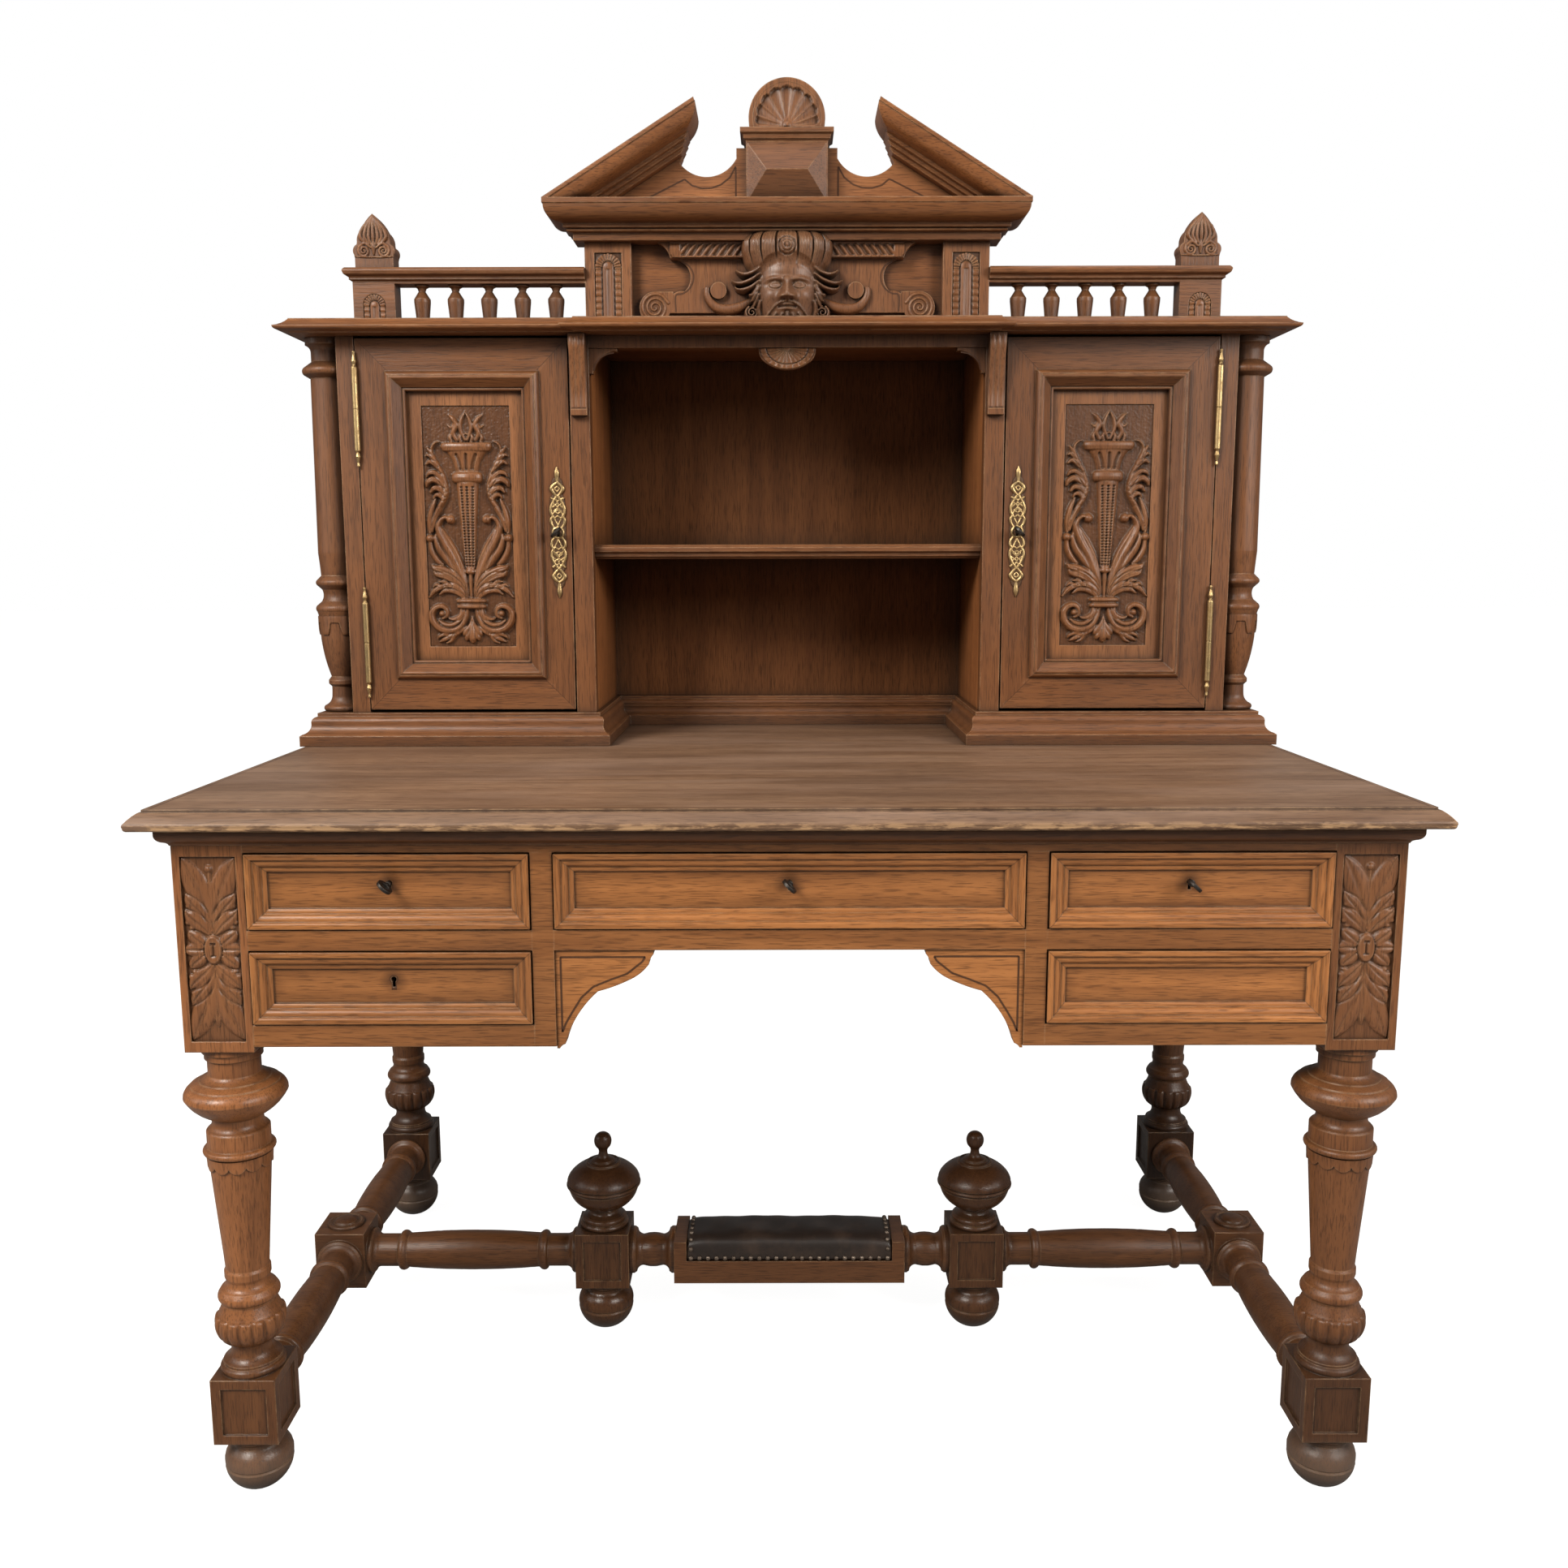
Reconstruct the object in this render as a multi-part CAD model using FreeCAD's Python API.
import FreeCAD
import Part
import math
import os
from FreeCAD import Vector

# Carved writing desk with a stepped upper stage, in millimetres.
# X runs to the right, Y to the back and Z up. The origin is on the floor under the middle of the top.

# Table top and legs
top_width = 1350.0
top_depth = 810.0
top_height = 787.0
top_thickness = 25.0
top_overhang = 33.0
back_overhang = 22.0
leg_square = 74.0
block_square = 72.0
side_block = 66.0
stile_drop = 6.0
stile_border = 8.0
stile_margin = 12.0
stile_sink = 5.0
foot_height = 66.5
foot_radius = 37.0
block_height = 77.0
block_border = 11.0
sunk_depth = 2.5
cove_height = 16.0

# Frieze with its five drawers
top_rail_height = 24.0
upper_drawer_height = 83.0
mid_rail_height = 22.0
lower_drawer_height = 81.0
bottom_rail_height = 24.0
rail_depth = 22.0
divider_width = 23.0
centre_opening = 494.0
bracket_width = 104.0
bracket_drop = 108.0
bracket_thickness = 18.0
panel_thickness = 18.0
panel_inset = 8.0
runner_width = 22.0
guide_height = 30.0
drawer_gap = 1.5
drawer_depth = 560.0
drawer_board = 10.0
drawer_bottom = 6.0
drawer_headroom = 12.0
drawer_groove = 8.0
front_moulding = 20.0
front_relief = 9.0
front_proud = 2.5
slide_gap = 0.3

# Stretcher with its urns and footrest
urn_spacing = 504.0
urn_height = 130.5
urn_radius = 50.0
button_radius = 24.0
button_height = 9.0
footrest_width = 310.0
footrest_depth = 79.0
footrest_height = 58.5
footrest_cheek = 17.0
pad_rebate = 27.0
pad_crown = 13.0

# Upper stage: plinths, cabinets and recess
stage_setback = 541.0
stage_back_inset = 11.0
plinth_inset = 7.0
plinth_height = 44.0
plinth_reach = 28.0
recess_width = 529.0
cabinet_height = 502.0
column_stand = 18.0
column_radius = 24.0
column_swell = 32.5
case_side = 22.0
recess_side = 18.0
back_thickness = 10.0
outer_stile = 24.0
inner_stile = 26.5
stile_depth = 22.0
shelf_height = 253.0
shelf_thickness = 19.0
shelf_setback = 16.0
recess_rail_depth = 12.0
recess_head = 16.0
spandrel_width = 38.0
spandrel_drop = 33.0
spandrel_thickness = 14.0
fan_width = 75.0
fan_drop = 28.0
fan_thickness = 10.0
console_width = 22.0
console_height = 104.0
console_reach = 21.0

# Doors
hinge_gap = 1.5
lock_gap = 2.0
door_headroom = 3.0
door_footroom = 4.0
door_stile = 38.5
door_rail = 42.5
moulding_width = 25.0
moulding_proud = 8.0
door_panel = 10.0
field_border = 18.5
field_depth = 2.0
barrel_radius = 4.0
barrel_length = 108.0
hinge_tip = 22.0
hinge_inset = 92.0
pin_radius = 2.0
pin_clearance = 0.05
leaf_thickness = 0.8
leaf_depth = 15.0
escutcheon_height = 175.0
escutcheon_width = 20.0
escutcheon_thickness = 1.5
keyhole_height = 244.0
keyhole_edge = 18.0

# Locks and keys
key_radius = 2.4
key_clearance = 0.4
bit_length = 8.0
bit_thickness = 2.4
bit_width = 4.6
bow_radius = 9.0
bow_hole = 5.0
bow_thickness = 3.4
bow_standoff = 10.0
bolt_throw = 11.0
bolt_width = 10.0
bolt_thickness = 4.0
bolt_clearance = 0.25
lock_wall = 1.5
lock_depth = 9.0
keyhole_rise = 7.0
lock_headroom = 5.0
door_lock_reach = 16.0
lock_tail = 19.0
lock_left = 14.0

# Cornice, gallery, attic and pediment
cornice_thickness = 19.0
cornice_reach = 30.0
cornice_setback = 11.0
centre_break = 10.0
centre_half = 266.0
crest_setback = 24.0
crest_depth = 30.0
gallery_depth = 30.0
gallery_rail_height = 19.5
baluster_height = 52.0
baluster_radius = 11.0
baluster_count = 5
post_width = 56.0
post_border = 13.0
post_outer = 581.0
rail_reach = 10.0
finial_height = 70.0
attic_width = 540.0
attic_height = 104.0
attic_board = 12.0
pilaster_width = 62.0
strap_thickness = 8.0
strap_half = 172.0
strap_base = 15.0
volute_radius = 21.0
volute_lift = 0.75
knob_radius = 11.0
knob_x = 92.0
strap_cap_height = 20.0
pediment_height = 46.0
pediment_reach = 48.0
pitch = 31.6
rake_thickness = 39.0
gap_tip = 120.0
gap_nib = 117.5
gap_nib_drop = 24.0
gap_notch = 130.0
gap_notch_height = 83.0
gap_foot = 142.0
gap_inner = 67.0
gap_height = 56.0
gap_inner_height = 62.0
gap_rise = 20.0
pedestal_half = 53.5
pedestal_height = 75.0
pedestal_reach = 30.0
diamond_height = 14.0
diamond_ridge = 27.0
cap_height = 16.0
cap_reach = 7.5
shell_radius = 50.0
shell_sink = 14.0
shell_thickness = 30.0

# Places worked out from the sizes above
front = -top_depth / 2
back = top_depth / 2 - back_overhang
face = front + top_overhang
side = top_width / 2 - top_overhang
leg_x = side - leg_square / 2
front_leg_y = face + leg_square / 2
back_leg_y = back - leg_square / 2
inner_leg = side - leg_square
frieze_top = top_height - top_thickness
upper_opening_top = frieze_top - top_rail_height
upper_opening = upper_opening_top - upper_drawer_height
lower_opening_top = upper_opening - mid_rail_height
lower_opening = lower_opening_top - lower_drawer_height
frieze_bottom = lower_opening - bottom_rail_height
stile_bottom = frieze_bottom - stile_drop
block_top = foot_height + block_height
stretcher_z = foot_height + block_height / 2
stretcher_y = (front_leg_y + back_leg_y) / 2
centre_half_opening = centre_opening / 2
divider_outer = centre_half_opening + divider_width
rail_back = face + rail_depth
urn_x = urn_spacing / 2
drawer_lock_reach = lower_drawer_height / 2 - keyhole_rise - lock_headroom
back_panel_front = back_leg_y + leg_square / 2 - panel_inset - panel_thickness
stage_face = front + stage_setback
stage_back = top_depth / 2 - stage_back_inset
plinth_top = top_height + plinth_height
plinth_core = top_width / 2 - plinth_inset - plinth_reach
column_x = plinth_core - column_stand
case_outer = column_x - column_radius + 3.0
recess_half = recess_width / 2
cornice_bottom = plinth_top + cabinet_height
cornice_top = cornice_bottom + cornice_thickness
stile_back = stage_face + stile_depth
board_front = stage_back - back_thickness
door_outer = case_outer - outer_stile
door_inner = recess_half + inner_stile
recess_top = cornice_bottom - recess_head
attic_half = attic_width / 2
crest_front = stage_face + crest_setback
crest_back = crest_front + crest_depth
attic_face = crest_back - attic_board
attic_top = cornice_top + attic_height
pediment_top = attic_top + pediment_height
eave = attic_half + pediment_reach
slope = math.tan(math.radians(pitch))
pedestal_top = pediment_top + pedestal_height
cap_top = pedestal_top + cap_height
rail_bottom = cornice_top + baluster_height
rail_top = rail_bottom + gallery_rail_height


# Outlines: points are (a, b) or (a, b, rise), counter-clockwise, and a positive rise bends
# the stretch that ends at the point into a convex arc

def stretch(start, end, place):
    p = Vector(start[0], start[1], 0)
    q = Vector(end[0], end[1], 0)
    rise = end[2] if len(end) > 2 else 0
    if not rise:
        return Part.makeLine(place(p), place(q))
    along = Vector(q.x - p.x, q.y - p.y, 0).normalize()
    mid = (p + q) * 0.5 + Vector(along.y, -along.x, 0) * rise
    return Part.Arc(place(p), place(mid), place(q)).toShape()


# Rise of the arc that closes a turning on its axis
def dome(radius, height):
    chord = math.hypot(radius, height)
    sphere = chord ** 2 / (2 * height)
    return sphere - math.sqrt(sphere ** 2 - chord ** 2 / 4)


# A turned profile drawn at any size, stretched to a largest radius and a height
def fitted(points, radius, height):
    wide = radius / max(point[0] for point in points)
    high = height / points[-1][1]
    bend = (wide + high) / 2
    fit = [(point[0] * wide, point[1] * high, *[rise * bend for rise in point[2:]]) for point in points]
    if len(points[-1]) > 2:
        fit[-1] = (0.0, height, dome(fit[-2][0], height - fit[-2][1]))
    return fit


def outline(points, place):
    return Part.Face(Part.Wire([stretch(points[i - 1], end, place) for i, end in enumerate(points)]))


def solid(shape):
    if shape.Volume < 0:
        shape.reverse()
    return shape


def prism_xz(points, y0, y1):
    return solid(outline(points, lambda p: Vector(p.x, y0, p.y)).extrude(Vector(0, y1 - y0, 0)))


def prism_yz(points, x0, x1):
    return solid(outline(points, lambda p: Vector(x0, p.x, p.y)).extrude(Vector(x1 - x0, 0, 0)))


def box(x0, x1, y0, y1, z0, z1):
    return Part.makeBox(x1 - x0, y1 - y0, z1 - z0, Vector(x0, y0, z0))


def turned(points, x=0.0, y=0.0, z=0.0):
    profile = outline(points, lambda p: Vector(p.x, 0, p.y))
    shape = solid(profile.revolve(Vector(0, 0, 0), Vector(0, 0, 1), 360))
    shape.translate(Vector(x, y, z))
    return shape


def rod(radius, x, z, y0, y1):
    return Part.makeCylinder(radius, y1 - y0, Vector(x, y0, z), Vector(0, 1, 0))


def join(first, *others):
    return first.fuse(list(others)).removeSplitter()


def mirrored(shape):
    return shape.mirror(Vector(0, 0, 0), Vector(1, 0, 0))


def pair(*shapes):
    return [copy for shape in shapes for copy in (shape, mirrored(shape))]


def descend(edge):
    rises = [point[2] if len(point) > 2 else 0 for point in edge]
    return [(point[0], point[1], rise) for point, rise in zip(reversed(edge), [0] + rises[:0:-1])]


def section(low, high, base, low_edge, high_edge):
    climb = [(high + point[0], base + point[1], *point[2:]) for point in high_edge]
    return climb + [(low - point[0], base + point[1], point[2]) for point in descend(low_edge)]


def plain(height):
    return [(0.0, 0.0), (0.0, height)]


# An edge drawn in shares of its width and height
def drawn_edge(points, width, height):
    return [(point[0] * width, point[1] * height, *point[2:]) for point in points]


# A board whose four edges have profiles of (reach, height) points: the two sections meet in true mitres
def moulded_board(x0, x1, y0, y1, z0, left, right, near, far):
    spread = max(point[0] for edge in (left, right, near, far) for point in edge) + 1.0
    across = prism_xz(section(x0, x1, z0, left, right), y0 - spread, y1 + spread)
    along = prism_yz(section(y0, y1, z0, near, far), x0 - spread, x1 + spread)
    return across.common(along).Solids[0]


# The same board stood upright: its height runs to the front and its depth runs up
def upright_board(x0, x1, z0, z1, y_back, edge):
    shape = moulded_board(x0, x1, z0, z1, 0.0, edge, edge, edge, edge)
    shape.rotate(Vector(0, 0, 0), Vector(1, 0, 0), 90)
    shape.translate(Vector(0, y_back, 0))
    return shape


def save(name, *shapes):
    shape = shapes[0] if len(shapes) == 1 else Part.makeCompound(list(shapes))
    shape.exportStep("parts/" + name + ".step")


# Table

def desk_top():
    lip = 14.0
    step = 3.0
    bed = 4.0
    shelf = top_overhang - 12.0
    edge = [(-shelf, 0.0), (-shelf, bed), (-4.0, bed), (0.0, bed + 4.0, 1.4), (-1.0, bed + 9.0, 1.0),
            (-lip + 3.0, top_thickness - step, 0.6), (-lip, top_thickness - step), (-lip, top_thickness)]
    flat = plain(top_thickness)
    half = top_width / 2
    return moulded_board(-half, half, front, top_depth / 2, frieze_top, edge, edge, edge, flat)


def cove_moulding():
    reach = 12.0
    edge = [(0.0, 0.0), (1.0, 0.0), (4.0, 3.5, -0.6), (5.0, 4.0), (reach, cove_height - 3.0, 2.0),
            (reach, cove_height)]
    flat = plain(cove_height)
    whole = moulded_board(-side, side, face, back, frieze_top - cove_height, edge, edge, edge, flat)
    return whole.cut(box(-side, side, face, back, frieze_top - cove_height, frieze_top))


def bun_foot(x, y):
    profile = [(0.0, 0.0), (18.0, 0.0), (37.0, 27.0, 4.2), (36.0, 29.0), (37.0, 31.0), (29.0, 51.0, 3.0),
               (27.5, 53.0), (27.5, 57.0), (30.0, 60.0), (30.0, 66.5), (0.0, 66.5)]
    return turned(fitted(profile, foot_radius, foot_height), x, y)


# A square block with a sunk panel on each face that no stretcher meets
def panelled_block(x, y, faces, square=block_square):
    half = square / 2
    block = box(x - half, x + half, y - half, y + half, foot_height, block_top)
    low = foot_height + block_border
    high = block_top - block_border
    wide = half - block_border
    deep = half - sunk_depth
    for dx, dy in faces:
        if dx:
            ends = sorted((x + dx * deep, x + dx * half))
            block = block.cut(box(ends[0], ends[1], y - wide, y + wide, low, high))
        else:
            ends = sorted((y + dy * deep, y + dy * half))
            block = block.cut(box(x - wide, x + wide, ends[0], ends[1], low, high))
    return block


# The turning between block and stile: radius and height above the block, then a taper,
# then radius and depth below the stile
def leg_turning(x, y):
    lower = [(0.0, 0.0), (34.0, 0.0), (34.0, 7.0, 1.2), (31.5, 9.0), (31.5, 12.0), (22.5, 28.0, -3.0),
             (23.5, 32.0), (34.0, 67.0, 6.5), (33.0, 69.0), (29.0, 79.0), (29.0, 81.5), (32.0, 84.0),
             (32.0, 92.0, 1.2), (29.5, 96.0), (23.5, 106.0, -1.8), (24.8, 110.0), (24.8, 117.0),
             (23.2, 120.0)]
    upper = [(33.3, 125.0), (36.8, 123.0), (36.8, 117.0, 1.4), (33.4, 115.5), (33.4, 97.5), (32.2, 96.0),
             (27.0, 86.5, -1.6), (27.0, 83.0), (30.0, 81.0), (54.4, 57.5, 2.8), (46.5, 45.5, 2.2),
             (46.5, 44.3), (37.5, 40.5), (37.5, 39.3), (27.8, 33.5, -1.6), (27.8, 16.0), (30.5, 15.0),
             (30.5, 8.5), (33.0, 7.5), (33.0, 0.0), (0.0, 0.0)]
    climb = [(point[0], block_top + point[1], *point[2:]) for point in lower]
    fall = [(point[0], stile_bottom - point[1], *point[2:]) for point in upper]
    return turned(climb + fall, x, y)


def leg(x, y, faces):
    half = leg_square / 2
    stile = box(x - half, x + half, y - half, y + half, stile_bottom, frieze_top)
    return join(stile, leg_turning(x, y), panelled_block(x, y, faces), bun_foot(x, y))


# The stiles of the front legs have a sunk panel for the leaf carving
def legs():
    outer = (-1, 0)
    half = leg_square / 2 - stile_border
    panel = box(-leg_x - half, -leg_x + half, face, face + stile_sink, stile_bottom + stile_margin,
                frieze_top - cove_height - stile_margin)
    front_leg = leg(-leg_x, front_leg_y, [(0, -1), outer, (1, 0)]).cut(panel).Solids[0]
    back_leg = leg(-leg_x, back_leg_y, [(0, 1), outer, (1, 0)])
    return pair(front_leg, back_leg)


def frieze_frame():
    top_rail = box(-inner_leg, inner_leg, face, rail_back, upper_opening_top, frieze_top)
    divider = box(-divider_outer, -centre_half_opening, face, rail_back, frieze_bottom, upper_opening_top)
    mid_rail = box(-inner_leg, -divider_outer, face, rail_back, lower_opening_top, upper_opening)
    bottom_rail = box(-inner_leg, -divider_outer, face, rail_back, frieze_bottom, lower_opening)
    centre_rail = box(-centre_half_opening, centre_half_opening, face, rail_back, lower_opening_top,
                      upper_opening)
    return [top_rail, centre_rail] + pair(divider, mid_rail, bottom_rail)


def knee_bracket():
    tip = -centre_half_opening + bracket_width
    root = -centre_half_opening
    top = lower_opening_top
    foot = top - bracket_drop
    shoulder_x = root + bracket_width * 0.43
    shoulder_z = top - bracket_drop * 0.42
    points = [(root, foot), (root + 3.0, foot), (root + 9.0, foot + 5.0, -0.8),
              (shoulder_x, shoulder_z, -5.0), (tip - 24.0, top - 32.0, 1.0), (tip - 5.0, top - 16.0, 1.5),
              (tip, top - 5.0, -1.0), (tip, top), (root, top)]
    return prism_xz(points, face + sunk_depth, face + sunk_depth + bracket_thickness)


def frieze_panels():
    low = frieze_bottom
    outer = side - panel_inset
    leg_front = front_leg_y + leg_square / 2
    leg_back = back_leg_y - leg_square / 2
    side_panel = box(-outer, -outer + panel_thickness, leg_front, leg_back, low, frieze_top)
    back_panel = box(-inner_leg, inner_leg, back_panel_front, back_panel_front + panel_thickness, low,
                     frieze_top)
    partition = box(-divider_outer, -divider_outer + panel_thickness, rail_back, back_panel_front, low,
                    frieze_top)
    return [back_panel] + pair(side_panel, partition)


# Bars along the partitions and side panels carry the drawers, and guides beside them keep these straight
def drawer_runners():
    outer_wall = -side + panel_inset + panel_thickness
    leg_front = front_leg_y + leg_square / 2
    leg_back = back_leg_y - leg_square / 2
    bars = []
    for low, high in ((lower_opening_top, upper_opening), (frieze_bottom, lower_opening)):
        bars.append(box(-divider_outer - runner_width, -divider_outer, rail_back, back_panel_front,
                        low, high))
        bars.append(box(outer_wall, -inner_leg + runner_width, leg_front, leg_back, low, high))
        bars.append(box(outer_wall, -inner_leg, leg_front, leg_back, high, high + guide_height))
    inner_wall = -divider_outer + panel_thickness
    bars.append(box(inner_wall, -centre_half_opening + runner_width, rail_back, back_panel_front,
                    lower_opening_top, upper_opening))
    bars.append(box(inner_wall, -centre_half_opening, rail_back, back_panel_front,
                    upper_opening, upper_opening + guide_height))
    return pair(*bars)


# Stretcher

# A turned bar between two square blocks, along +X from the origin: radius and distance from each end
def spindle(length, ends, belly):
    far = descend(ends)
    far = [(point[0], length - point[1], point[2]) for point in far]
    far[0] = (far[0][0], far[0][1], belly)
    shape = turned([(0.0, 0.0)] + ends + far + [(0.0, length)])
    shape.rotate(Vector(0, 0, 0), Vector(0, 1, 0), 90)
    return shape


def stretchers():
    half = block_square / 2
    middle = side_block / 2
    long_end = [(30.0, 0.0), (30.0, 5.0), (28.0, 7.0), (21.5, 16.0, -2.0), (21.5, 40.0), (25.0, 42.0),
                (25.0, 50.0, 1.4), (22.5, 53.0)]
    short_end = [(31.0, 0.0), (31.0, 5.0), (29.0, 8.0), (20.5, 17.0, -2.2)]
    block = panelled_block(-leg_x, stretcher_y, [(-1, 0)], side_block)
    arm = spindle(stretcher_y - middle - (front_leg_y + half), long_end, 3.5)
    arm.rotate(Vector(0, 0, 0), Vector(0, 0, 1), 90)
    front_arm = arm.translated(Vector(-leg_x, front_leg_y + half, stretcher_z))
    back_arm = arm.translated(Vector(-leg_x, stretcher_y + middle, stretcher_z))
    side_bar = join(block, front_arm, back_arm)
    cross_start = -leg_x + middle
    cross_bar = spindle(-urn_x - half - cross_start, long_end, 3.5)
    cross_bar.translate(Vector(cross_start, stretcher_y, stretcher_z))
    short_bar = spindle(urn_x - half - footrest_width / 2, short_end, 2.0)
    short_bar.translate(Vector(-urn_x + half, stretcher_y, stretcher_z))
    return pair(side_bar, cross_bar, short_bar)


def urn_post():
    return join(panelled_block(-urn_x, stretcher_y, [(0, -1), (0, 1)]), bun_foot(-urn_x, stretcher_y))


def stretcher_finials():
    profile = [(0.0, 0.0), (32.0, 0.0), (32.0, 7.0, 1.5), (28.0, 9.0), (28.0, 13.0), (18.0, 23.0, -2.0),
               (17.5, 28.0), (48.0, 58.0, 4.5), (47.0, 59.5), (49.0, 62.5), (50.0, 69.0), (20.5, 97.0, 5.5),
               (20.5, 98.5), (11.0, 99.5), (5.5, 105.0, -1.2), (5.5, 108.0), (12.0, 118.5, 3.0),
               (0.0, 130.5, 3.5)]
    urn = turned(fitted(profile, urn_radius, urn_height), -urn_x, stretcher_y, block_top)
    eye = button_radius - 9.0
    button = turned([(0.0, 0.0), (button_radius, 0.0), (button_radius, 3.0), (button_radius - 5.0, 5.0, 1.0),
                     (eye, 4.0), (0.0, button_height, dome(eye, button_height - 4.0))],
                    -leg_x, stretcher_y, block_top)
    return pair(urn, button)


def footrest_box():
    half = footrest_width / 2
    low = stretcher_z - footrest_height / 2
    high = low + footrest_height
    near = stretcher_y - footrest_depth / 2
    far = stretcher_y + footrest_depth / 2
    body = box(-half, half, near, far, low, high)
    return body.cut(box(-half + footrest_cheek, half - footrest_cheek, near, far, high - pad_rebate, high))


# Leather pad over the top of the box: crowned along and across, with its ends drawn in
def footrest_pad():
    half = footrest_width / 2 - footrest_cheek - slide_gap
    seat = stretcher_z + footrest_height / 2 - pad_rebate + slide_gap
    deep = footrest_depth / 2 - 1.0
    stations = [(-half, 0.35), (-half * 0.8, 0.85), (0.0, 1.0), (half * 0.8, 0.85), (half, 0.35)]
    wires = []
    for x, fullness in stations:
        bulge = pad_crown * fullness
        wide = deep - (1.0 - fullness) * 2.0
        high = seat + pad_rebate - 3.0
        points = [(-wide, seat, 1.0), (wide, seat), (wide, high - 6.0, 1.0), (wide - 8.0, high, 2.0),
                  (-wide + 8.0, high, bulge), (-wide, high - 6.0, 2.0)]
        edges = [stretch(points[i - 1], end, lambda p: Vector(x, stretcher_y + p.x, p.y))
                 for i, end in enumerate(points)]
        wires.append(Part.Wire(edges))
    return Part.makeLoft(wires, True, True)


# Upper stage

def plinth_edge():
    return [(plinth_reach, 0.0), (plinth_reach, 14.0), (plinth_reach - 3.0, 16.0), (15.0, 29.0, -3.0),
            (15.0, 31.0), (9.0, 39.0, 2.0), (8.0, 39.0), (8.0, plinth_height)]


def plinths():
    edge = plinth_edge()
    flat = plain(plinth_height)
    inner = [(point[0] * 0.75, *point[1:]) for point in edge]
    left = moulded_board(-plinth_core, -recess_half, stage_face, stage_back, top_height,
                         edge, inner, edge, flat)
    rail_edge = [(point[0] * 0.4, *point[1:]) for point in edge]
    rail_front = board_front - recess_rail_depth + 4.0
    rail = moulded_board(-recess_half, recess_half, rail_front, stage_back, top_height,
                         flat, flat, rail_edge, flat)
    return pair(left) + [rail.cut([left, mirrored(left)])]


def cabinet_case():
    outer = box(-case_outer, -case_outer + case_side, stile_back, board_front, plinth_top, cornice_bottom)
    inner = box(-recess_half - recess_side, -recess_half, stile_back, board_front, plinth_top, cornice_bottom)
    back_board = box(-case_outer, case_outer, board_front, stage_back, plinth_top, cornice_bottom)
    return [back_board] + pair(outer, inner)


def face_frame():
    outer = box(-case_outer, -door_outer, stage_face, stile_back, plinth_top, cornice_bottom)
    inner = box(-door_inner, -recess_half, stage_face, stile_back, plinth_top, cornice_bottom)
    head = box(-recess_half, recess_half, stage_face, stile_back, recess_top, cornice_bottom)
    return [head] + pair(outer, inner)


def recess_shelf():
    low = top_height + shelf_height
    edge = [(0.0, 0.0), (5.0, 3.0, -1.0), (5.0, 7.0), (9.0, 9.0), (9.0, shelf_thickness - 3.0, 2.0),
            (6.0, shelf_thickness)]
    flat = plain(shelf_thickness)
    near = stage_face + shelf_setback + 9.0
    return moulded_board(-recess_half, recess_half, near, board_front, low, flat, flat, edge, flat)


def recess_brackets():
    near = stage_face + sunk_depth
    spring = recess_top - spandrel_drop
    arch = prism_xz([(-recess_half, spring), (-recess_half + 5.0, spring),
                     (-recess_half + spandrel_width, recess_top - 4.0, -9.0),
                     (-recess_half + spandrel_width, recess_top), (-recess_half, recess_top)],
                    near, near + spandrel_thickness)
    half = fan_width / 2
    fan = prism_xz([(-half, recess_top), (-half + 9.0, recess_top - fan_drop * 0.68, 3.5),
                    (half - 9.0, recess_top - fan_drop * 0.68, 9.0), (half, recess_top, 3.5)],
                   near, near + fan_thickness)
    foot = cornice_bottom - console_height
    slim = console_reach * 0.4
    console_x = -recess_half - (inner_stile + console_width) / 2
    console = prism_yz([(stage_face - slim - 2.0, foot), (stage_face, foot), (stage_face, cornice_bottom),
                        (stage_face - console_reach, cornice_bottom),
                        (stage_face - console_reach, cornice_bottom - 14.0),
                        (stage_face - slim, foot + 26.0, -6.0), (stage_face - slim, foot + 8.0),
                        (stage_face - slim - 2.0, foot + 8.0)], console_x, console_x + console_width)
    return [fan] + pair(arch, console)


# Columns stand on the plinth ledge against the cabinet sides
def column():
    profile = [(0.0, 0.0), (26.0, 0.0), (26.0, 8.0, 2.5), (17.0, 20.0, -2.0), (16.5, 34.0), (20.5, 38.0),
               (20.5, 43.0), (16.5, 48.0), (27.5, 100.0, 1.5), (29.5, 133.0), (31.0, 138.0),
               (31.0, 146.0, 1.5), (24.0, 152.0), (23.0, 168.0, -2.0), (29.5, 174.0), (29.5, 181.0, 1.5),
               (23.5, 187.0), (26.0, 218.0), (24.0, 450.0), (32.5, 455.0), (32.5, 464.0, 2.0), (22.0, 472.0),
               (22.0, 484.0), (29.0, 494.0, -2.0), (29.0, 502.0), (0.0, 502.0)]
    depth = stage_face + column_swell + 1.5
    whole = turned(fitted(profile, column_swell, cabinet_height), -column_x, depth, plinth_top)
    inside = box(-case_outer, 0.0, stage_face, stage_back, plinth_top, cornice_bottom)
    return whole.cut(inside).Solids[0]


# Doors: built for the left cabinet and mirrored for the right one

def mitred_frame(x0, x1, z0, z1, width, height, y0, y1):
    corners = [(x0, z0), (x1, z0), (x1, z1), (x0, z1)]
    inside = [(x0 + width, z0 + height), (x1 - width, z0 + height), (x1 - width, z1 - height),
              (x0 + width, z1 - height)]
    return [prism_xz([corners[i - 1], corners[i], inside[i], inside[i - 1]], y0, y1) for i in range(4)]


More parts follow.
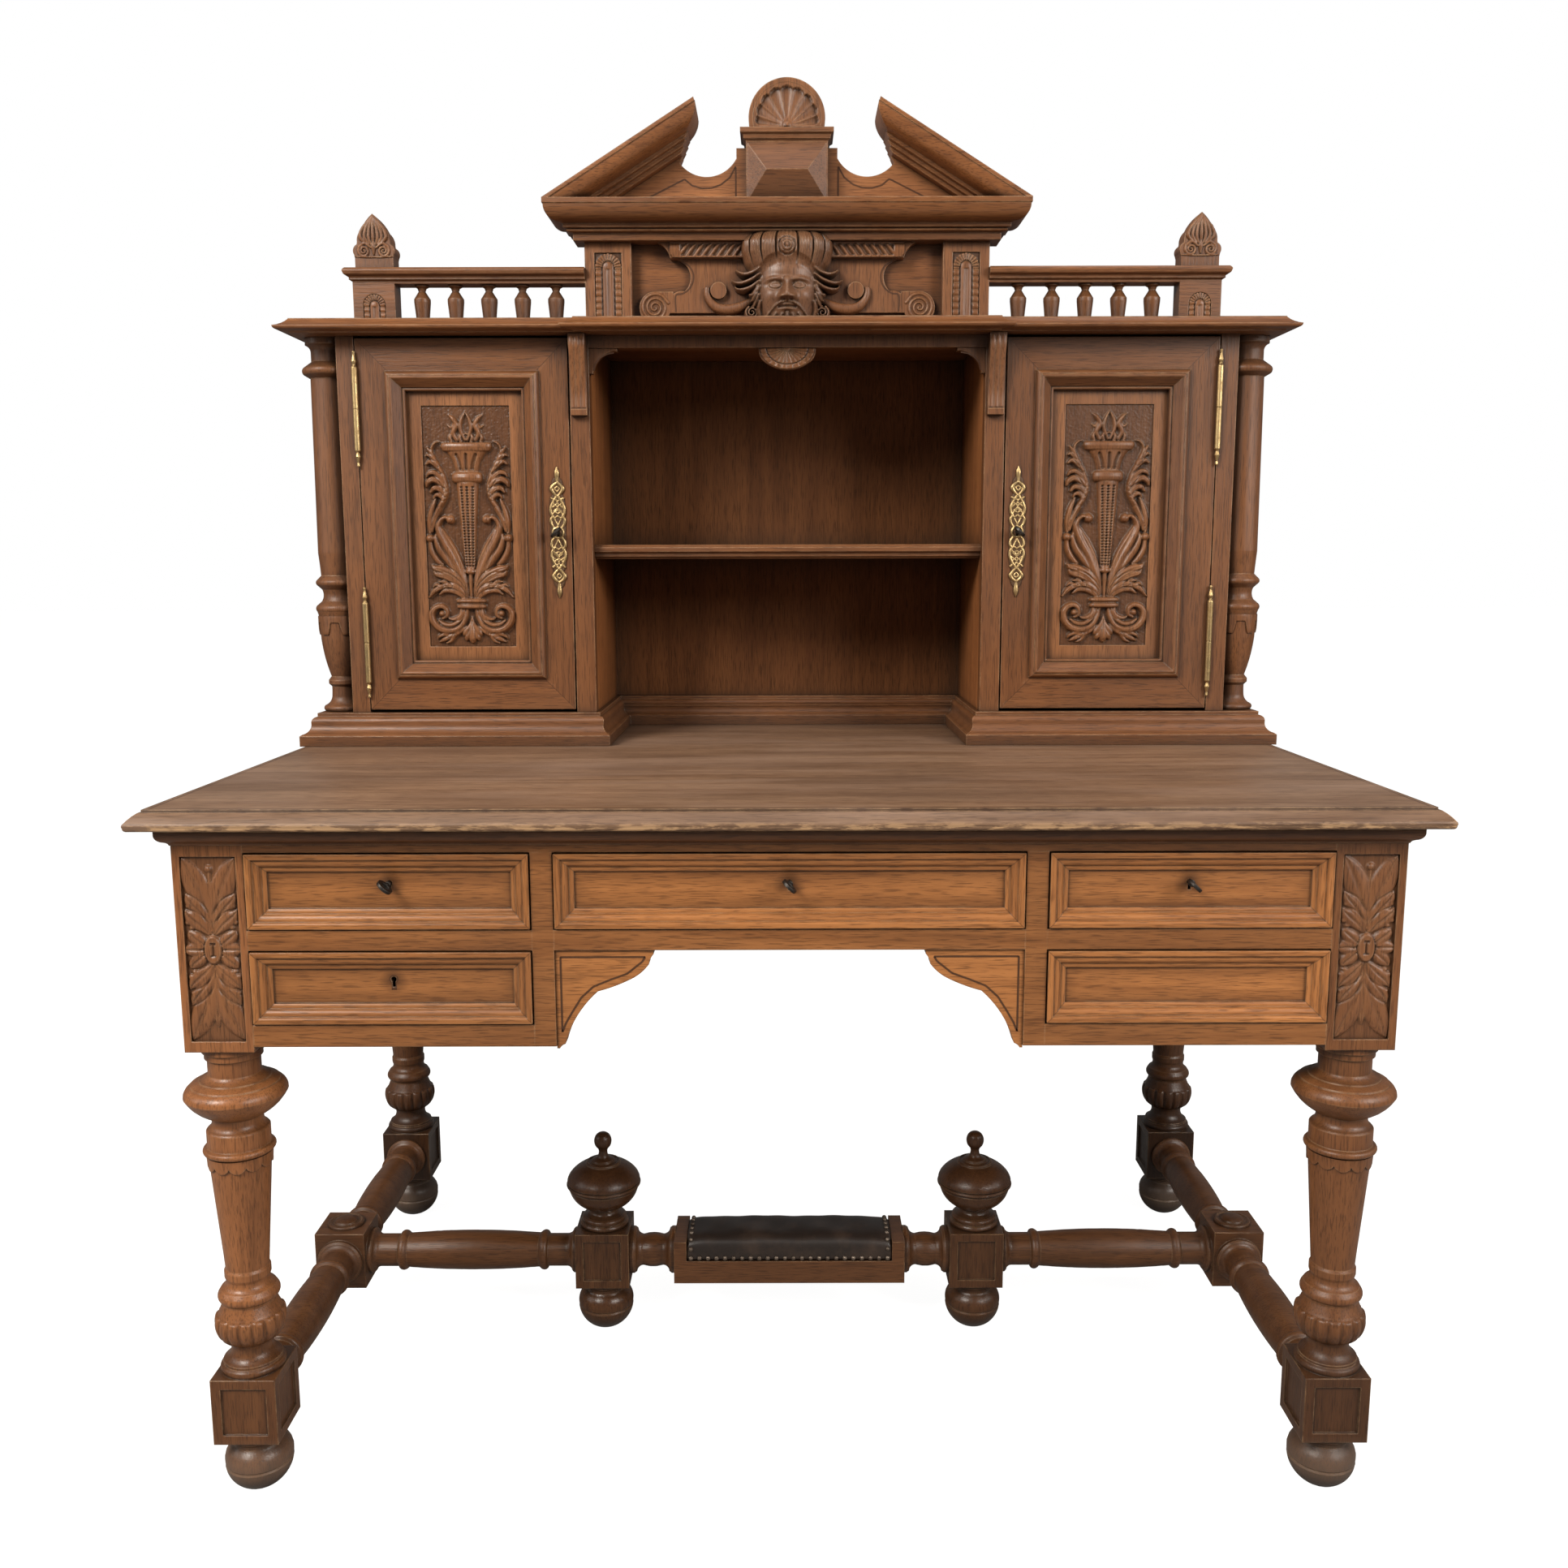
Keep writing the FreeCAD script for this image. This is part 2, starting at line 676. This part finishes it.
# A keyhole: a round for the stem with a slot below it for the bit
def keyhole(x, z, y0, y1, down):
    radius = key_radius + key_clearance
    slot = bit_thickness / 2 + key_clearance
    reach = bit_length + key_clearance
    ends = {(0, -1): (x - slot, x + slot, z - reach, z), (1, 0): (x, x + reach, z - slot, z + slot)}[down]
    return join(rod(radius, x, z, y0, y1), box(ends[0], ends[1], y0, y1, ends[2], ends[3]))


door_left = -door_outer + hinge_gap
door_right = -door_inner - lock_gap
door_low = plinth_top + door_footroom
door_high = cornice_bottom - door_headroom
key_x = door_right - keyhole_edge
key_z = plinth_top + keyhole_height
ring_left = door_left + door_stile
ring_right = door_right - door_stile
ring_low = door_low + door_rail
ring_high = door_high - door_rail
panel_front = stile_back - door_panel
hinge_x = -door_outer + hinge_gap / 2
hinge_y = stage_face - barrel_radius


def door_frame():
    cut = keyhole(key_x, key_z, stage_face, stile_back, (0, -1))
    members = mitred_frame(door_left, door_right, door_low, door_high, door_stile, door_rail,
                           stage_face, stile_back)
    members = [member.cut(cut).Solids[0] for member in members]
    high = panel_front - stage_face + moulding_proud
    outer = [(0.0, 0.0), (0.0, high - 7.0), (-8.0, high, 2.6)]
    inner = drawn_edge([(0.0, 0.0), (0.0, 0.2), (0.2, 0.33, -1.0), (0.24, 0.5), (0.44, 0.65, -1.4),
                        (0.48, 0.82), (0.62, 1.0, -0.8)], moulding_width, high)
    shape = upright_board(ring_left, ring_right, ring_low, ring_high, panel_front, outer)
    hole = upright_board(ring_left + moulding_width, ring_right - moulding_width, ring_low + moulding_width,
                         ring_high - moulding_width, panel_front, inner)
    return members + [shape.cut(hole).Solids[0]]


def door_panel_board():
    board = box(ring_left, ring_right, panel_front, stile_back, ring_low, ring_high)
    rim = moulding_width + field_border
    field = box(ring_left + rim, ring_right - rim, panel_front, panel_front + field_depth, ring_low + rim,
                ring_high - rim)
    return board.cut(field)


# Pin hinges: the lower knuckle and its pin stay with the case, the upper knuckle turns on it
def hinge_places():
    return door_low + hinge_inset, door_high - hinge_inset


def hinge_pin(z):
    half = barrel_length / 2
    tip = -half - hinge_tip
    leaf = box(-door_outer, -door_outer + leaf_thickness / 2, hinge_y, stage_face + leaf_depth, z - half,
               z - slide_gap)
    knuckle = turned([(0.0, tip), (2.0, tip + 2.0, dome(2.0, 2.0)), (1.5, tip + 6.0), (3.6, -half - 8.0),
                      (2.2, -half - 3.0), (barrel_radius, -half), (barrel_radius, -slide_gap),
                      (pin_radius, -slide_gap), (pin_radius, half - 4.0), (0.0, half - 4.0)],
                     hinge_x, hinge_y, z)
    return join(knuckle, leaf.cut(rod_up(hinge_x, hinge_y, z)))


def rod_up(x, y, z):
    return Part.makeCylinder(barrel_radius, barrel_length, Vector(x, y, z - slide_gap))


def hinge_barrel(z):
    half = barrel_length / 2
    tip = half + hinge_tip
    bore = pin_radius + pin_clearance
    leaf = box(door_left - leaf_thickness / 2, door_left, hinge_y, stage_face + leaf_depth, z, z + half)
    knuckle = turned([(bore, 0.0), (barrel_radius, 0.0), (barrel_radius, half), (2.2, half + 3.0),
                      (3.6, half + 8.0), (1.5, tip - 6.0), (2.0, tip - 2.0), (0.0, tip, dome(2.0, 2.0)),
                      (0.0, half - 3.0), (bore, half - 3.0)], hinge_x, hinge_y, z)
    hollow = Part.makeCylinder(bore, half - 3.0, Vector(hinge_x, hinge_y, z))
    return join(knuckle, leaf.cut(hollow))


def escutcheon():
    half = escutcheon_height / 2
    wide = escutcheon_width / 2
    right = [(0.0, -half), (3.0, -half + 14.0), (wide * 0.7, -half + 24.0, 1.5),
             (wide * 0.35, -half + 33.0, 1.0), (wide, -half + 52.0, 2.0), (wide * 0.75, -14.0, 1.0),
             (wide, 0.0, 1.5), (wide * 0.75, 14.0, 1.5), (wide, half - 52.0, 1.0),
             (wide * 0.35, half - 33.0, 2.0), (wide * 0.7, half - 24.0, 1.0), (3.0, half - 14.0, 1.5),
             (0.0, half)]
    left = [(-point[0], point[1], point[2]) for point in descend(right)[1:-1]]
    left.append((0.0, -half))
    points = [(key_x + point[0], key_z + point[1], *point[2:]) for point in right[1:] + left]
    plate = prism_xz(points, stage_face - escutcheon_thickness, stage_face)
    return plate.cut(keyhole(key_x, key_z, stage_face - escutcheon_thickness, stage_face, (0, -1)))


# Locks: drawn with the key on the Y axis, the bolt shooting up, and Y = 0 at the back of the wood

bolt_left = bit_length * 0.62
bolt_right = bolt_left + bolt_width
notch_low = -bit_length * math.sqrt(0.5) - 2.5
notch_high = notch_low + 5.4


def lock_case(reach):
    right = bolt_right + lock_wall + bolt_clearance
    shell = box(-lock_left, right, 0.0, lock_depth, -lock_tail, reach)
    hollow = box(-lock_left + lock_wall, right - lock_wall, 0.0, lock_depth - lock_wall,
                 -lock_tail + lock_wall, reach - lock_wall)
    slot = box(bolt_left - bolt_clearance, bolt_right + bolt_clearance, 0.0, lock_wall + bolt_thickness,
               0.0, reach)
    return shell.cut([hollow, slot])


def lock_bolt(reach):
    low = -lock_tail + lock_wall + 1.0
    near = lock_wall - bolt_clearance
    plate = box(bolt_left, bolt_right, near, near + bolt_thickness, low, reach)
    notch = box(bolt_left, bolt_left + 4.2, 0.0, lock_depth, notch_low, notch_high)
    return plate.cut(notch)


# The key rests turned back by half its travel, with the bit in the bolt's notch
def lock_key(wood):
    stem_end = lock_depth - lock_wall - 0.5
    bow_y = -wood - bow_standoff - bow_radius
    stem = rod(key_radius, 0.0, 0.0, bow_y + bow_hole, stem_end)
    collar = rod(key_radius + 1.2, 0.0, 0.0, -wood - bow_standoff + 1.0, -wood - bow_standoff + 4.0)
    bit = box(0.0, bit_length, lock_wall - bolt_clearance, lock_wall - bolt_clearance + bit_width,
              -bit_thickness / 2, bit_thickness / 2)
    ring = Part.makeCylinder(bow_radius, bow_thickness, Vector(0.0, bow_y, -bow_thickness / 2))
    eye = Part.makeCylinder(bow_hole, bow_thickness, Vector(0.0, bow_y, -bow_thickness / 2))
    key = join(ring.cut(eye), stem.cut(eye), collar, bit)
    key.rotate(Vector(0, 0, 0), Vector(0, 1, 0), 45)
    return key


def place_lock(shape, x, y, z, turn):
    shape = shape.copy()
    shape.rotate(Vector(0, 0, 0), Vector(0, 1, 0), turn)
    shape.translate(Vector(x, y, z))
    return shape


# Drawers

def drawer_front(x0, x1, z0, z1, has_keyhole):
    left = x0 + drawer_gap
    right = x1 - drawer_gap
    low = z0 + drawer_gap
    high = z1 - drawer_gap
    field = face + front_relief
    board = box(left, right, field, rail_back, low, high)
    if has_keyhole:
        board = board.cut(keyhole((x0 + x1) / 2, (z0 + z1) / 2 + keyhole_rise, field, rail_back, (0, -1)))
    rise = front_relief + front_proud
    inner = drawn_edge([(0.0, 0.0), (0.0, 0.2), (0.25, 0.32, -0.6), (0.3, 0.5), (0.64, 0.72, -1.1),
                        (0.68, 0.9), (0.78, 1.0, -0.3)], front_moulding, rise)
    ring = upright_board(left, right, low, high, field, plain(rise))
    hole = upright_board(left + front_moulding, right - front_moulding, low + front_moulding,
                         high - front_moulding, field, inner)
    return [board, ring.cut(hole).Solids[0]]


def drawer_box(x0, x1, z0, z1):
    left = x0 + drawer_gap + 1.0
    right = x1 - drawer_gap - 1.0
    low = z0 + slide_gap
    high = z1 - drawer_headroom
    far = face + drawer_depth
    sides = [box(x, x + drawer_board, rail_back, far, low, high) for x in (left, right - drawer_board)]
    inner_left = left + drawer_board
    inner_right = right - drawer_board
    base = low + drawer_groove
    bottom = box(inner_left, inner_right, rail_back, far, base, base + drawer_bottom)
    end = box(inner_left, inner_right, far - drawer_board, far, base + drawer_bottom, high)
    return sides + [bottom, end]


def build_drawers():
    places = {
        "top_left": (-inner_leg, -divider_outer, upper_opening, upper_opening_top, True, True),
        "centre": (-centre_half_opening, centre_half_opening, upper_opening, upper_opening_top, True, True),
        "top_right": (divider_outer, inner_leg, upper_opening, upper_opening_top, True, True),
        "bottom_left": (-inner_leg, -divider_outer, lower_opening, lower_opening_top, True, False),
        "bottom_right": (divider_outer, inner_leg, lower_opening, lower_opening_top, False, False),
    }
    case = lock_case(drawer_lock_reach)
    bolt = lock_bolt(drawer_lock_reach)
    key = lock_key(rail_depth - front_relief)
    for name, (x0, x1, z0, z1, has_keyhole, has_key) in places.items():
        save("drawer_" + name + "_front", *drawer_front(x0, x1, z0, z1, has_keyhole))
        save("drawer_" + name + "_box", *drawer_box(x0, x1, z0, z1))
        seat = ((x0 + x1) / 2, rail_back, (z0 + z1) / 2 + keyhole_rise, 0.0)
        if has_key:
            save("drawer_" + name + "_lock", place_lock(case, *seat))
            save("drawer_" + name + "_bolt", place_lock(bolt, *seat))
            save("drawer_" + name + "_key", place_lock(key, *seat))
        elif has_keyhole:
            save("drawer_" + name + "_lock", place_lock(case, *seat), place_lock(bolt, *seat))


def build_doors():
    members = door_frame()
    panel = door_panel_board()
    barrels = [hinge_barrel(z) for z in hinge_places()]
    seat = (key_x, stile_back, key_z, 90.0)
    case = place_lock(lock_case(door_lock_reach), *seat)
    bolt = place_lock(lock_bolt(door_lock_reach), *seat)
    key = place_lock(lock_key(stile_depth + escutcheon_thickness), *seat)
    brass = barrels + [escutcheon(), case]
    for name, turn in (("left", lambda shape: shape), ("right", mirrored)):
        save("door_" + name + "_frame", *[turn(shape) for shape in members])
        save("door_" + name + "_panel", turn(panel))
        save("door_" + name + "_brass", *[turn(shape) for shape in brass])
        save("door_" + name + "_bolt", turn(bolt))
        save("door_" + name + "_key", turn(key))
    save("hinge_pins", *pair(*[hinge_pin(z) for z in hinge_places()]))


# Cornice and gallery

def cornice_board():
    edge = [(0.0, 0.0), (13.0, 0.5, -0.5), (14.0, 2.0), (cornice_reach - 3.0, 3.5), (cornice_reach, 8.0, 1.0),
            (cornice_reach - 16.0, cornice_thickness - 1.0, -1.5), (cornice_reach - 16.0, cornice_thickness)]
    flat = plain(cornice_thickness)
    near = stage_face - cornice_setback
    whole = moulded_board(-plinth_core, plinth_core, near, stage_back, cornice_bottom, edge, edge, edge, flat)
    centre = moulded_board(-centre_half, centre_half, near - centre_break, stage_back, cornice_bottom,
                           edge, edge, edge, flat)
    return join(whole, centre)


def gallery_frame():
    far = crest_front + gallery_depth
    post = box(-post_outer, -post_outer + post_width, crest_front, far, cornice_top, rail_bottom)
    left = -post_outer + post_border
    right = -post_outer + post_width - post_border
    arch = (right - left) / 2
    spring = rail_bottom - post_border - arch
    niche = prism_xz([(left, cornice_top), (right, cornice_top), (right, spring), (left, spring, arch)],
                     crest_front, crest_front + sunk_depth)
    post = post.cut(niche)
    edge = [(0.0, 0.0), (0.0, 3.0), (rail_reach * 0.4, 5.0), (rail_reach * 0.5, 9.0, -0.8),
            (rail_reach * 0.7, 10.0), (rail_reach, 13.0, 0.8), (rail_reach, gallery_rail_height - 2.0, 0.8),
            (rail_reach - 2.0, gallery_rail_height)]
    flat = plain(gallery_rail_height)
    rail = moulded_board(-post_outer, -attic_half, crest_front, far, rail_bottom, edge, flat, edge, edge)
    return pair(post, rail)


def gallery_balusters():
    room = post_outer - post_width - attic_half
    pitch_x = room / (baluster_count + 0.65)
    middle = crest_front + gallery_depth / 2
    profile = [(0.0, 0.0), (8.0, 0.0), (11.0, 30.0), (11.0, 34.0), (4.6, 44.0), (6.0, 48.0), (9.5, 50.0),
               (9.5, 52.0), (0.0, 52.0)]
    points = fitted(profile, baluster_radius, baluster_height)
    places = [-attic_half - pitch_x * (i + 0.92) for i in range(baluster_count)]
    return pair(*[turned(points, x, middle, cornice_top) for x in places])


# Corner finials: a scroll block below a pointed leaf, cut from the thickness of the posts
def gallery_finial():
    middle = -post_outer + post_width / 2 + 2.0
    half = post_width / 2 - 2.5
    high = finial_height
    right = [(half, 0.0), (half, 14.0), (half + 1.0, 18.0), (half - 3.0, 31.0, 3.0), (half - 3.5, 34.0),
             (half - 10.0, 50.0, 2.0), (0.0, high, 1.5)]
    left = [(-point[0], point[1], point[2]) for point in descend(right)[1:]]
    points = [(middle + point[0], rail_top + point[1], *point[2:]) for point in right + left]
    return prism_xz(points, crest_front + 1.0, crest_front + gallery_depth - 1.0)


# Attic and pediment

def attic_panel():
    return box(-attic_half, attic_half, attic_face, crest_back, cornice_top, attic_top)


# Pilasters and the pierced strapwork that frames the mask
def attic_ornament():
    pilaster = box(-attic_half, -attic_half + pilaster_width, crest_front, attic_face, cornice_top, attic_top)
    border = 13.0
    niche = box(-attic_half + border, -attic_half + pilaster_width - border, crest_front,
                crest_front + sunk_depth, cornice_top, attic_top - border)
    pilaster = pilaster.cut(niche)
    cap_low = attic_top - strap_cap_height
    cap_end = strap_half - 16.0
    cap = prism_xz([(-cap_end, cap_low, -3.0), (cap_end, cap_low), (strap_half, attic_top, -3.0),
                    (-strap_half, attic_top)], crest_front, attic_face)
    base = cornice_top + strap_base
    neck = strap_half - 34.0
    near = attic_face - strap_thickness
    right = [(neck + 16.0, base), (neck + 16.0, base + 24.0), (neck, base + 28.0, 2.0),
             (neck + 10.0, cap_low, -13.0)]
    left = [(-point[0], point[1], point[2]) for point in descend(right)]
    strap = prism_xz(right + left, near, attic_face)
    volute_z = cornice_top + volute_lift + volute_radius
    volute = rod(volute_radius, -strap_half - 6.0, volute_z, near, attic_face)
    link = box(-strap_half - 6.0, -neck - 15.0, near, attic_face, base, volute_z + volute_radius)
    strap = join(strap, *pair(volute, link))
    knob = rod(knob_radius, -knob_x, base + 28.0, near - 7.0, near)
    return pair(pilaster, knob) + [cap, strap]


# Carved head at the middle of the attic, left as a plain egg with a crown of hair
def mask(*neighbours):
    low = cornice_top + 1.0
    high = attic_top + 12.0
    middle = (low + high) / 2
    head = turned([(0.0, low), (18.0, low), (34.0, low + 22.0, 2.0), (43.0, middle, 2.0),
                   (42.0, high - 34.0, 1.0), (50.0, high - 28.0), (48.0, high - 14.0, 2.0),
                   (0.0, high, dome(48.0, 14.0))], 0.0, attic_face - 8.0)
    nose = Part.makeCone(9.0, 3.0, 26.0, Vector(0.0, attic_face - 50.0, middle - 16.0), Vector(0, 0.12, 1))
    locks = pair(rod(12.0, -56.0, middle + 6.0, attic_face - 26.0, attic_face - strap_thickness))
    shape = join(head, nose, *locks)
    keep = box(-100.0, 100.0, attic_face - 60.0, attic_face - strap_thickness, low, high)
    return shape.common(keep).cut(list(neighbours)).Solids[0]


def gap_prism():
    high = pediment_top + 250.0
    tip_z = pediment_top + (eave - gap_tip) * slope
    points = [(-gap_inner, pediment_top + gap_inner_height, gap_rise), (-gap_inner, high), (-gap_tip, high),
              (-gap_tip, tip_z), (-gap_nib, tip_z - gap_nib_drop),
              (-gap_notch, pediment_top + gap_notch_height), (-gap_foot, pediment_top + gap_height)]
    return prism_xz(points, crest_front - 200.0, crest_back + 10.0)


def pediment_edge():
    reach = pediment_reach
    return [(19.0, 10.0), (19.0, 15.0), (26.0, 17.0), (reach - 11.0, 27.0, 1.5), (reach - 3.0, 39.0, -1.0),
            (reach, 40.0), (reach, pediment_height)]


def pediment_cornices():
    edge = pediment_edge()
    flat = plain(pediment_height)
    near = [(13.0, 0.0), (13.0, 8.0)] + edge
    end = [(0.0, 0.0), (0.0, 10.0)] + edge
    level = moulded_board(-attic_half, attic_half, crest_front, crest_back, attic_top, end, end, near, flat)
    deep = rake_thickness
    rake_edge = [(6.0, 0.0), (6.0, 6.0), (13.0, 8.0), (13.0, 13.0), (20.0, 15.0), (26.0, 20.0, -1.5),
                 (pediment_reach - 2.0, 33.0, 2.5), (pediment_reach, 34.0), (pediment_reach, deep)]
    length = eave / math.cos(math.radians(pitch))
    rake = prism_yz(section(crest_front, crest_back, -deep, rake_edge, plain(deep)), 0.0, length)
    rake.rotate(Vector(0, 0, 0), Vector(0, 1, 0), -pitch)
    rake.translate(Vector(-eave, 0.0, pediment_top))
    under = box(-2 * eave, 2 * eave, crest_front - 200.0, crest_back + 10.0, attic_top - 200.0, pediment_top)
    rake = rake.cut([under, gap_prism()])
    rake = max(rake.Solids, key=lambda piece: piece.Volume)
    return [level] + pair(rake)


def tympanum():
    foot = eave - rake_thickness / math.sin(math.radians(pitch))
    shoulder = pediment_top + (foot - gap_inner) * slope
    board_low = crest_front + 10.0
    points = [(-foot, pediment_top), (foot, pediment_top), (gap_inner, shoulder), (gap_inner, pedestal_top),
              (-gap_inner, pedestal_top), (-gap_inner, shoulder)]
    gap = gap_prism()
    board = prism_xz(points, board_low, crest_back).cut([gap, mirrored(gap)])
    return max(board.Solids, key=lambda piece: piece.Volume)


def pedestal():
    near = crest_front + 10.0 - pedestal_reach
    far = crest_front + 10.0
    block = box(-pedestal_half, pedestal_half, near, far, pediment_top, pedestal_top)
    rim = 2.0
    low = pediment_top + rim
    high = pedestal_top - rim
    half = pedestal_half - rim
    middle = (low + high) / 2
    ridge_y = near - diamond_height
    corners = [Vector(-half, near, low), Vector(half, near, low), Vector(half, near, high),
               Vector(-half, near, high)]
    ridge = [Vector(-diamond_ridge, ridge_y, middle), Vector(diamond_ridge, ridge_y, middle)]
    loops = [corners, [corners[0], corners[1], ridge[1], ridge[0]], [corners[1], corners[2], ridge[1]],
             [corners[2], corners[3], ridge[0], ridge[1]], [corners[3], corners[0], ridge[0]]]
    faces = [Part.Face(Part.makePolygon(loop + [loop[0]])) for loop in loops]
    point = solid(Part.Solid(Part.Shell(faces)))
    edge = [(0.0, 0.0), (cap_reach * 0.4, 3.0, -0.6), (cap_reach * 0.5, 8.0), (cap_reach, 10.0),
            (cap_reach, cap_height)]
    cap = moulded_board(-pedestal_half, pedestal_half, near, crest_back, pedestal_top, edge, edge, edge,
                        plain(cap_height))
    return [join(block, point), cap]


def pediment_shell():
    near = crest_front + 10.0 - pedestal_reach + 4.0
    middle = cap_top + shell_sink
    disc = rod(shell_radius, 0.0, middle, near, near + shell_thickness)
    dish = rod(shell_radius - 6.0, 0.0, middle, near, near + 6.0)
    return disc.cut([dish, box(-shell_radius, shell_radius, near, near + shell_thickness, 0.0, cap_top)])


def main():
    os.makedirs("parts", exist_ok=True)
    save("desk_top", desk_top())
    save("cove_moulding", cove_moulding())
    save("legs", *legs())
    save("frieze_frame", *frieze_frame())
    save("knee_brackets", *pair(knee_bracket()))
    save("frieze_panels", *frieze_panels())
    save("drawer_runners", *drawer_runners())
    build_drawers()
    save("stretchers", *stretchers())
    save("urn_posts", *pair(urn_post()))
    save("stretcher_finials", *stretcher_finials())
    save("footrest_box", footrest_box())
    save("footrest_pad", footrest_pad())
    save("plinths", *plinths())
    save("cabinet_case", *cabinet_case())
    save("face_frame", *face_frame())
    save("recess_shelf", recess_shelf())
    save("recess_brackets", *recess_brackets())
    save("columns", *pair(column()))
    build_doors()
    save("cornice_board", cornice_board())
    save("gallery_frame", *gallery_frame())
    save("gallery_balusters", *gallery_balusters())
    save("gallery_finials", *pair(gallery_finial()))
    save("attic_panel", attic_panel())
    ornament = attic_ornament()
    save("attic_ornament", *ornament)
    cornices = pediment_cornices()
    save("pediment_cornices", *cornices)
    save("mask", mask(cornices[0], ornament[-2]))
    save("tympanum", tympanum())
    save("pedestal", *pedestal())
    save("pediment_shell", pediment_shell())


main()
